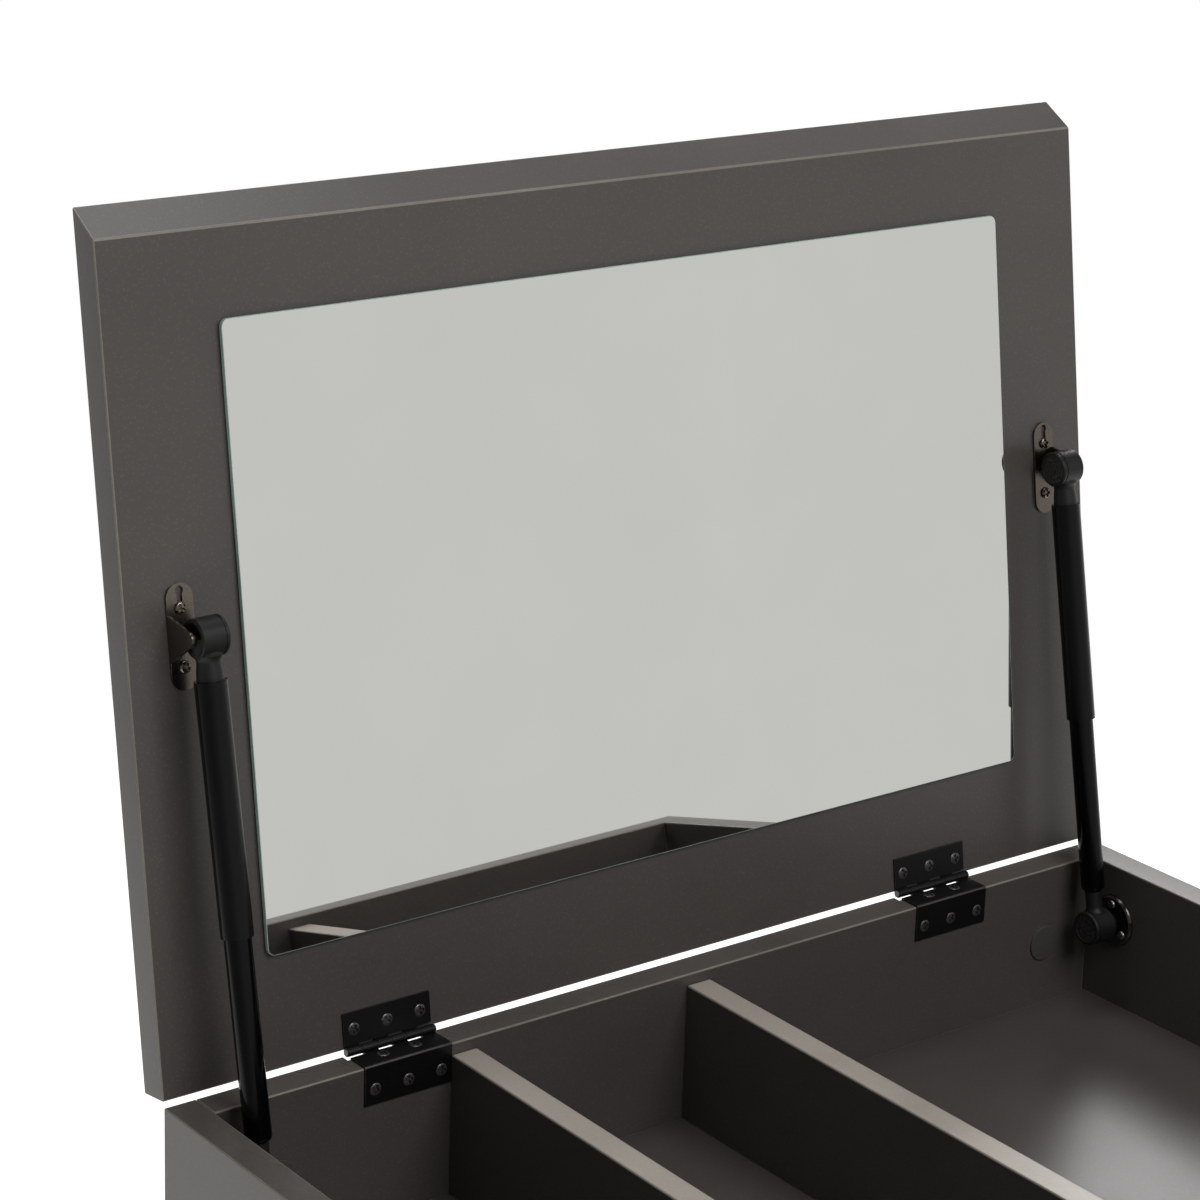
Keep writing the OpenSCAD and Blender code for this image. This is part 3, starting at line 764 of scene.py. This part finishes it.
def grown(name: str, tree: bpy.types.NodeTree, places: Sequence[Spot],
          **values: object) -> Piece:
    """Runs a node tree on a set of points and keeps the result as a plain mesh.

    Args:
        name: the piece's name.
        tree: the geometry node tree.
        places: each point and the direction that it faces.
        values: the tree's inputs by name, with _ for a space.

    Returns:
        The plain mesh object.
    """
    seed = bpy.data.meshes.new(name + "_points")
    seed.from_pydata([tuple(p) for p, _ in places], [], [])
    facing = seed.attributes.new("facing", "FLOAT_VECTOR", "POINT")
    facing.data.foreach_set("vector", [c for _, way in places for c in way])
    holder = mesh_object(name + "_points", seed)
    nodes = holder.modifiers.new("nodes", "NODES")
    nodes.node_group = tree
    ids = {item.name: item.identifier for item in tree.interface.items_tree if item.in_out == "INPUT"}
    for key, value in values.items():
        nodes[ids[key.replace("_", " ")]] = value
    return evaluated_copy(holder, name)


def scattered(name: str, form: Form, places: Sequence[Spot],
              finish: Finish, spin: float = 0.0) -> Piece:
    """Sets a small shape on every place through the scatter tree.

    Args:
        name: the finished piece's name.
        form: the small shape, with its face towards +Z.
        places: each point and the direction that it faces.
        finish: the piece's finish.
        spin: the most that a shape is turned about its own axis, in radians.

    Returns:
        One plain mesh object that holds every copy.
    """
    shape = mesh_object(name + "_shape", to_mesh(form, name + "_shape"))
    piece = grown(name, scatter_tree(), places, Shape=shape, Size=1.0, Spin=spin, Finish=paint(finish))
    bpy.data.objects.remove(shape, do_unlink=True)
    smooth_by_angle(piece.data, 35)
    return piece


# ---------------------------------------------------------------- case and lid


@dataclass
class Boards:
    """The case's melamine boards, each with its band edges trimmed to a small radius."""

    trim: float = 0.8 * MM
    notch_clear: float = 1.0 * MM
    notch_drop: float = 2.6 * MM
    notch_depth: float = 4.4 * MM
    overrun: float = 0.01
    plain: tuple[str, ...] = ("side_panel_left", "side_panel_right", "front_panel", "floor_panel",
                              "divider_left", "divider_right")

    def build(self) -> None:
        """Builds every board of the case."""
        for node in self.plain:
            self._finish(node, block(*corners(node)))
        self._rear_panel()

    def _finish(self, node: str, form: Form) -> None:
        """Trims a board's edges, dresses it and lets it stand for its node."""
        top = corners(node)[1].z
        # The rounded edges go to slot 1, a painted highlight
        round_edges(form, self.trim, material=1)
        # The narrow top faces go to slot 2, the band painted lighter than the melamine as painted top light
        if node != "floor_panel":
            for face in form.faces:
                if face.normal.z > FLAT and face.calc_center_median().z > top - self.trim:
                    face.material_index = 2
        # The dividers' tops take a paler band, a stronger painted top light
        band = DIVIDER_BAND_PAINTED_TOP_LIGHT if "divider" in node else BAND_PAINTED_TOP_LIGHT
        built(node + "_board", form, 50, (MELAMINE, TRIM_PAINTED_HIGHLIGHT, band), "melamine_board", node)

    def _rear_panel(self) -> None:
        """Builds the rear panel with the two notches under its hinge barrels."""
        low, high = corners("rear_panel")
        notches = []
        for side in ("left", "right"):
            start, end = corners(f"hinge_{side}_case_leaf")
            cut_low = Vector((start.x - self.notch_clear, high.y - self.notch_depth,
                              high.z - self.notch_drop))
            cut_high = Vector((end.x + self.notch_clear, high.y + self.overrun, high.z + self.overrun))
            notches.append(block(cut_low, cut_high))
        form = cut_away(block(low, high), notches)
        for face in form.faces:
            face.material_index = 0
        flattened(form)
        self._finish("rear_panel", form)


@dataclass
class Lid:
    """The lid board with its sloped finger pull, the mirror stuck to it and the tape behind the mirror."""

    trim: float = 0.8 * MM
    arris: float = 0.35 * MM

    def build(self) -> None:
        """Builds the lid board and the mirror."""
        self._board()
        self._mirror()
        dress(frame["nodes"]["mirror_tape"], paint(FOAM))

    def _board(self) -> None:
        """Builds the lid board from the outline of its CAD node's end."""
        low, high = corners("lid_board")
        ends = {(round(v.co.y, 6), round(v.co.z, 6)) for v in frame["nodes"]["lid_board"].data.vertices
                if v.co.x < low.x + 1e-5}
        middle = Vector((sum(y for y, _ in ends) / len(ends), sum(z for _, z in ends) / len(ends)))
        outline = sorted(ends, key=lambda p: math.atan2(p[1] - middle.y, p[0] - middle.x))
        form = prism(outline, low.x, high.x)
        # The rounded edges go to slot 1, a painted highlight
        round_edges(form, self.trim, degrees=25, material=1)
        built("lid_panel", form, 50, (MELAMINE, TRIM_PAINTED_HIGHLIGHT), "melamine_board", "lid_board")

    def _mirror(self) -> None:
        """Builds the mirror with a ground arris, silvered on its flat faces."""
        form = flattened(welded("mirror_glass"))
        facing = flat_normal("mirror_glass")
        round_edges(form, self.arris, degrees=60, segments=2, material=1)
        for face in form.faces:
            face.material_index = 0 if abs(face.normal.dot(facing)) > FLAT else 1
        built("mirror_pane", form, 30, (SILVERED, GLASS_EDGE), "mirror_glass", "mirror_glass")


# ---------------------------------------------------------------- fittings


@dataclass
class CaseFittings:
    """The caps over the cam fittings, and the hidden cams, bolts and dowels."""

    cap_radius: float = 10 * MM
    cap_height: float = 1.2 * MM
    rim: float = 0.5 * MM

    def build(self) -> None:
        """Builds the caps and dresses the hidden fittings."""
        top, out, soft = 0.0, self.cap_radius, self.rim
        profile = [(-self.cap_height, 0), (-self.cap_height, out), (top - soft, out),
                   (top - 0.3 * soft, out - 0.3 * soft), (top, out - soft), (top, out * 0.5), (top, 0)]
        middle = (corners("front_panel")[0].y + corners("rear_panel")[1].y) / 2
        places = []
        for points in islands("cam_caps"):
            low, high = points.min(0), points.max(0)
            rear = low[1] > middle
            face = low[1] if rear else high[1]
            centre = Vector(((low[0] + high[0]) / 2, face, (low[2] + high[2]) / 2))
            places.append((centre, Vector((0, -1 if rear else 1, 0))))
        caps = scattered("cover_caps", turned_form(profile, 48), places, CAP_PLASTIC)
        stand_for(caps, "melamine_board", "cam_caps")
        for node, finish in (("cam_locks", NICKEL), ("cam_bolts", NICKEL), ("dowels", BEECH)):
            dress(frame["nodes"][node], paint(finish))


@dataclass
class Screws:
    """Cross-recessed screw heads: countersunk in the hinges and plates, pan heads on the brackets."""

    recess: float = 0.72
    arm: float = 0.25
    depth: float = 1.2 * MM
    overrun: float = 1 * MM
    spin: float = 1.5

    def build(self) -> None:
        """Builds every set of screws."""
        self._set("hinge_case_screws", "black_steel", SCREW_BLACK, radius=3.2 * MM, dome=0.35 * MM)
        self._set("hinge_lid_screws", "black_steel", SCREW_BLACK, radius=3.2 * MM, dome=0.35 * MM)
        self._set("leg_plate_screws", "zinc_steel", SCREW_BLACK, radius=3.55 * MM, dome=0.2 * MM)
        self._set("bracket_screws", "zinc_steel", NICKEL, radius=3.0 * MM)
        self._set("strut_base_screws", "zinc_steel", SCREW_BRIGHT, radius=2.4 * MM)

    def _set(self, node: str, slot: str, finish: Finish, radius: float, dome: float = 0.0) -> None:
        """Builds the screws of one CAD node.

        Args:
            node: the CAD node.
            slot: the record's material slot.
            finish: the screws' finish.
            radius: the radius of a head.
            dome: how far a countersunk head's middle stands above its rim, or 0 for a pan head.
        """
        if dome == 0:
            profile = [(-1.4 * MM, 0), (-1.4 * MM, radius), (-0.9 * MM, radius), (-0.45 * MM, radius * 0.93),
                       (-0.15 * MM, radius * 0.78), (0, radius * 0.55), (0, 0)]
        else:
            profile = [(-1.6 * MM, 0), (-1.6 * MM, radius * 0.5), (-0.12 * MM, radius), (0, radius * 0.97),
                       (dome * 0.6, radius * 0.75), (dome, radius * 0.4), (dome, 0)]
        head = self._with_cross(turned_form(profile, 32), radius, dome)
        piece = scattered(node + "_heads", head, fixings(node), finish, spin=self.spin)
        stand_for(piece, slot, node)

    def _with_cross(self, form: Form, radius: float, top: float) -> Form:
        """Cuts the cross recess out of a head.

        Args:
            form: the head.
            radius: its radius.
            top: the height of its outer face.

        Returns:
            The head with its recess.
        """
        long_way, across = radius * self.recess, radius * self.arm
        bars = [block(Vector((-wide, -deep, top - self.depth)), Vector((wide, deep, top + self.overrun)))
                for wide, deep in ((long_way, across), (across, long_way))]
        return cut_away(form, bars)


@dataclass
class Hinges:
    """The two butt hinges: stamped leaves with a folded edge, rolled barrels and a pin."""

    edge: float = 0.18 * MM
    fold: float = 0.85 * MM
    shortest: float = 6 * MM
    fold_length: float = 40 * MM
    fold_height: float = 10 * MM

    def build(self) -> None:
        """Builds both hinges."""
        for side in ("left", "right"):
            self._leaf(f"hinge_{side}_case_leaf", True)
            self._leaf(f"hinge_{side}_lid_leaf", False)
            dress(frame["nodes"][f"hinge_{side}_pin"], paint(SCREW_BLACK))

    def _leaf(self, node: str, folded: bool) -> None:
        """Softens one leaf's edges.

        Args:
            node: the leaf's CAD node.
            folded: whether the leaf is folded over the panel's top.
        """
        form = flattened(welded(node))
        # The fold and the long edges go to slot 1, a painted highlight
        if folded:
            low = corners(node)[0]
            front, above = low.y + NEAR, low.z + self.fold_height
            round_edges(form, self.fold, degrees=80, segments=3, material=1,
                        wanted=lambda e: (e.calc_length() > self.fold_length
                                          and all(v.co.y < front and v.co.z > above for v in e.verts)))
        round_edges(form, self.edge, degrees=60, segments=2, material=1,
                    wanted=lambda e: e.calc_length() > self.shortest)
        built(node + "_plate", form, 35, (POWDER_BLACK, BLACK_EDGE_PAINTED_HIGHLIGHT), "black_steel", node)


@dataclass
class GasStrut:
    """One gas strut with its moulded ball sockets, its sleeve, its bracket and its round plate."""

    side: str
    barrel: float = 9.4 * MM
    mouth: float = 6.5 * MM
    back: float = 8.0 * MM
    end: float = 20.0 * MM
    bracket_edge: float = 0.3 * MM
    base_edge: float = 0.2 * MM

    def build(self) -> None:
        """Builds the strut's pieces."""
        side = self.side
        upper = self._centre(f"strut_{side}_stud")
        lower = self._centre(f"strut_base_{side}")
        upper.x = lower.x = self._centre(f"strut_{side}_cylinder").x
        self._socket(f"strut_{side}_upper_socket", upper, (lower - upper).normalized(), True)
        self._socket(f"strut_{side}_lower_socket", lower, (upper - lower).normalized(), False)
        nodes = frame["nodes"]
        for part, finish in (("cylinder", STRUT_ENAMEL), ("sleeve", SLEEVE), ("rod", CHROME),
                             ("stud", NICKEL)):
            dress(nodes[f"strut_{side}_{part}"], paint(finish))
        # The bracket's softened edges take a painted highlight
        self._stamped(f"strut_bracket_{side}", (NICKEL, NICKEL_EDGE_PAINTED_HIGHLIGHT), "zinc_steel", self.bracket_edge)
        # The round plate's softened edges take a painted highlight
        self._stamped(f"strut_base_{side}", (PLATE_ENAMEL, BLACK_EDGE_PAINTED_HIGHLIGHT), "black_steel", self.base_edge)

    def _centre(self, node: str) -> Vector:
        """Gives the middle of a CAD node's box."""
        low, high = corners(node)
        return (low + high) / 2

    def _cap_slot(self, along: float, out: float) -> int:
        """Gives the slot of a barrel's face, which is the textured one on the cap's sunk disc."""
        sunk = 0.2 * MM < along + self.back < 0.4 * MM
        return 1 if sunk and out < self.barrel - 1.8 * MM else 0

    def _socket(self, node: str, ball: Vector, down: Vector, wide_neck: bool) -> None:
        """Builds a ball socket: a barrel across the strut with a textured cap, and a neck.

        Args:
            node: the socket's CAD node.
            ball: the ball's centre.
            down: the direction from the ball to the strut's tube.
            wide_neck: whether the neck is the upper, wider one.
        """
        out, mouth, back = self.barrel, self.mouth, self.back
        profile = [(mouth - 4.0 * MM, 0), (mouth - 4.0 * MM, 3.4 * MM), (mouth - 1.6 * MM, 3.4 * MM),
                   (mouth - 1.6 * MM, 7.3 * MM), (mouth - 0.2 * MM, 7.4 * MM), (mouth, 7.6 * MM),
                   (mouth, out - 0.35 * MM), (mouth - 0.35 * MM, out), (-back + 3.0 * MM, out),
                   (-back + 2.9 * MM, out - 0.3 * MM), (-back + 2.3 * MM, out - 0.3 * MM),
                   (-back + 2.2 * MM, out),
                   (-back + 1.0 * MM, out), (-back + 0.3 * MM, out - 0.45 * MM), (-back, out - 1.1 * MM),
                   (-back, out - 1.7 * MM), (-back + 0.25 * MM, out - 1.9 * MM),
                   (-back + 0.25 * MM, 3.0 * MM),
                   (-back + 0.25 * MM, 0)]
        outwards = Vector((1 if self.side == "right" else -1, 0, 0))
        body = moved(turned_form(profile, 64, self._cap_slot), ball, outwards)
        neck_r = 6.3 * MM if wide_neck else 4.6 * MM
        waist = 5.6 * MM if wide_neck else 4.4 * MM
        start, stop = self.barrel - 1.2 * MM, self.end - 0.01 * MM
        neck = [(0, 0), (0, waist + 1.6 * MM), (start, waist + 1.4 * MM),
                (start + 1.0 * MM, waist + 0.6 * MM),
                (start + 2.2 * MM, waist + 0.15 * MM), (start + 3.4 * MM, waist),
                (stop - 4 * MM, neck_r - 0.15 * MM),
                (stop - 1 * MM, neck_r), (stop, neck_r), (stop, 0)]
        body = joined([body, moved(turned_form(neck, 48), ball, down)])
        built(node + "_moulding", body, 30, (NYLON, NYLON_CAP), "socket_plastic", node)

    def _stamped(self, node: str, finishes: tuple[Finish, Finish], slot: str, edge: float) -> None:
        """Softens the edges of a stamped steel piece.

        Args:
            node: the CAD node.
            finishes: its finish, and the painted highlight finish of its softened edges.
            slot: the record's material slot.
            edge: the width of a softened edge, and half the length of the shortest one.
        """
        form = flattened(welded(node))
        # The softened edges go to slot 1, a painted highlight
        round_edges(form, edge, degrees=40, segments=2, material=1,
                    wanted=lambda e: e.calc_length() > 2 * edge)
        built(node + "_stamping", form, 35, finishes, slot, node)


@dataclass
class Legs:
    """The four tapered legs with their steel plates, bolts and glides."""

    plate_edge: float = 0.3 * MM
    plate_corner: float = 5 * MM
    plate_shortest: float = 8 * MM
    end_edge: float = 1.2 * MM
    belly: float = 0.6 * MM
    names: tuple[str, ...] = ("front_left", "front_right", "rear_left", "rear_right")

    def build(self) -> None:
        """Builds the legs, glides and plates."""
        tops, feet = [], []
        for name in self.names:
            low, high = corners("leg_" + name)
            middle = (low + high) / 2
            tops.append((Vector((middle.x, middle.y, high.z)), Vector((0, 0, 1))))
            feet.append((Vector((middle.x, middle.y, corners("glide_" + name)[0].z)), Vector((0, 0, -1))))
        low, high = corners("leg_" + self.names[0])
        radii = self._radii("leg_" + self.names[0])
        form = taken_up(grown("tapered_legs", leg_tree(), tops, Top_radius=radii[0], Foot_radius=radii[1],
                              Length=high.z - low.z, Belly=self.belly, Sides=64,
                              Finish=paint(STAINED_BEECH)))
        round_edges(form, self.end_edge, degrees=60, segments=3)
        built("tapered_legs", form, 35, (STAINED_BEECH,), "leg_stain",
              *("leg_" + name for name in self.names))
        self._glides(feet, radii[1])
        for name in self.names:
            self._plate("leg_plate_" + name)
        dress(frame["nodes"]["hanger_bolts"], paint(NICKEL))

    def _radii(self, node: str) -> tuple[float, float]:
        """Measures a leg's radius at its top and at its foot."""
        low, high = corners(node)
        middle = (low + high) / 2
        verts = [v.co for v in frame["nodes"][node].data.vertices]
        out = [max(math.hypot(v.x - middle.x, v.y - middle.y) for v in verts if abs(v.z - z) < NEAR)
               for z in (high.z, low.z)]
        return out[0], out[1]

    def _glides(self, feet: Sequence[Spot], foot_radius: float) -> None:
        """Builds the moulded glides under the legs."""
        low, high = corners("glide_" + self.names[0])
        tall, out = high.z - low.z, foot_radius - 1.5 * MM
        profile = [(0, 0), (0, out - 1.6 * MM), (-0.4 * MM, out - 0.6 * MM), (-1.1 * MM, out), (-tall, out),
                   (-tall, 0)]
        glides = scattered("glides", turned_form(profile, 48), feet, NYLON)
        stand_for(glides, "glide_plastic", *("glide_" + name for name in self.names))

    def _plate(self, node: str) -> None:
        """Softens a leg plate's outer edges and corners."""
        form = flattened(welded(node))
        low, high = corners(node)
        round_edges(form, self.plate_corner, degrees=80, segments=5, wanted=lambda e: (
            abs(e.verts[0].co.z - e.verts[1].co.z) > 2 * MM and abs(e.verts[0].co.x - e.verts[1].co.x) < 1e-5
            and min(abs(e.verts[0].co.x - low.x), abs(e.verts[0].co.x - high.x)) < NEAR
            and min(abs(e.verts[0].co.y - low.y), abs(e.verts[0].co.y - high.y)) < NEAR))
        round_edges(form, self.plate_edge, degrees=60, segments=2,
                    wanted=lambda e: e.calc_length() > self.plate_shortest)
        built(node + "_plate", form, 35, (POWDER_BLACK,), "black_steel", node)


# ---------------------------------------------------------------- studio


@dataclass
class Studio:
    """The camera, the lights, the pale floor and the white room round them."""

    place: Vector = field(default_factory=lambda: Vector((-1.0156, -1.0767, 1.4527)))
    lens: float = 101.98
    yaw: float = 0.6581
    pitch: float = 0.2877
    roll: float = 0.0335
    shift_y: float = -0.0833
    floor_radius: float = 2.6
    floor_glow: float = 0.8
    front_grey: float = 0.6
    back_white: float = 1.0
    left_gain: float = 0.35
    matt_gain: float = 0.62
    zenith: float = 0.2

    def build(self) -> None:
        """Sets the whole studio up."""
        self._camera()
        self._floor()
        self._world()
        self._light("ceiling_light", Vector((0.1, 0.5, 2.9)), Vector((0, 0, 0.75)), (1.4, 1.0), 13.0)
        self._light("front_fill", Vector((0.1, -1.6, 2.4)), Vector((0.0, 0.1, 0.7)), (1.4, 1.0), 28.0)
        self._light("back_right_light", Vector((1.5, 1.3, 2.0)), Vector((0.2, 0.0, 0.66)), (0.7, 0.7), 12.0)
        bpy.context.scene.view_settings.view_transform = "Standard"
        bpy.context.scene.view_settings.look = "None"

    def _camera(self) -> None:
        """Adds the camera."""
        data = bpy.data.cameras.new("camera")
        data.lens, data.sensor_width, data.shift_y = self.lens, 36.0, self.shift_y
        data.clip_start, data.clip_end = 0.05, 50.0
        camera = bpy.data.objects.new("camera", data)
        turn = (Matrix.Rotation(-self.yaw, 3, "Z") @ Matrix.Rotation(math.pi / 2 - self.pitch, 3, "X")
                @ Matrix.Rotation(self.roll, 3, "Z"))
        camera.matrix_world = Matrix.Translation(self.place) @ turn.to_4x4()
        bpy.context.scene.collection.objects.link(camera)
        bpy.context.scene.camera = camera

    def _floor(self) -> None:
        """Adds the round pale floor."""
        form = bmesh.new()
        bmesh.ops.create_circle(form, cap_ends=True, segments=96, radius=self.floor_radius)
        floor = mesh_object("studio_floor", to_mesh(form, "studio_floor"))
        pale = paint(PALE_FLOOR)
        shader = pale.node_tree.nodes["Principled BSDF"]
        shader.inputs["Emission Color"].default_value = (1, 1, 1, 1)
        shader.inputs["Emission Strength"].default_value = self.floor_glow
        dress(floor, pale)

    def _light(self, name: str, place: Vector, target: Vector, size: tuple[float, float],
               power: float) -> None:
        """Adds a soft area light that looks at a point."""
        data = bpy.data.lights.new(name, "AREA")
        data.shape, data.size, data.size_y, data.energy = "RECTANGLE", size[0], size[1], power
        light = bpy.data.objects.new(name, data)
        light.location = place
        light.rotation_mode = "QUATERNION"
        light.rotation_quaternion = (target - place).to_track_quat("-Z", "Y")
        bpy.context.scene.collection.objects.link(light)

    def _world(self) -> None:
        """Adds a room that is white to look at, and light grey in what it lights and in the mirror."""
        world = bpy.data.worlds.new("white_room")
        world.use_nodes = True
        tree = world.node_tree
        tree.nodes.clear()
        seen = add_node(tree, "ShaderNodeBackground", {"Color": (1, 1, 1, 1), "Strength": 1.0})
        way = add_node(tree, "ShaderNodeSeparateXYZ",
                       {0: add_node(tree, "ShaderNodeTexCoord").outputs["Generated"]})
        back = add_node(tree, "ShaderNodeMapRange",
                        {0: way.outputs[1], 1: -0.7, 2: 0.5, 3: self.front_grey, 4: self.back_white})
        left = add_node(tree, "ShaderNodeMapRange",
                        {0: way.outputs[0], 1: -0.1, 2: -0.9, 3: 1.0, 4: self.left_gain})
        level = add_node(tree, "ShaderNodeMath", {0: back.outputs[0], 1: left.outputs[0]},
                         operation="MULTIPLY")
        high = add_node(tree, "ShaderNodeMapRange",
                        {0: way.outputs[2], 1: 0.3, 2: 0.6, 3: 1.0, 4: self.zenith})
        strength = add_node(tree, "ShaderNodeMath", {0: level.outputs[0], 1: high.outputs[0]},
                            operation="MULTIPLY")
        path = add_node(tree, "ShaderNodeLightPath")
        matt = add_node(tree, "ShaderNodeMapRange",
                        {0: path.outputs["Is Diffuse Ray"], 3: 1.0, 4: self.matt_gain})
        given = add_node(tree, "ShaderNodeMath", {0: strength.outputs[0], 1: matt.outputs[0]},
                         operation="MULTIPLY")
        room = add_node(tree, "ShaderNodeBackground",
                        {"Color": (1, 1, 0.98, 1), "Strength": given.outputs[0]})
        mixed = add_node(tree, "ShaderNodeMixShader",
                         {0: path.outputs["Is Camera Ray"], 1: room.outputs[0], 2: seen.outputs[0]})
        add_node(tree, "ShaderNodeOutputWorld", {"Surface": mixed.outputs[0]})
        bpy.context.scene.world = world


# ---------------------------------------------------------------- assembly


def main() -> None:
    """Builds every sub-assembly in order."""
    logging.basicConfig(level=logging.INFO, format="%(name)s: %(message)s")
    Studio().build()
    assemblies = [Boards(), Lid(), CaseFittings(), Screws(), Hinges(), GasStrut("left"), GasStrut("right"),
                  Legs()]
    for assembly in assemblies:
        LOG.info("building %s", type(assembly).__name__)
        assembly.build()


if __name__ == "__main__":
    main()
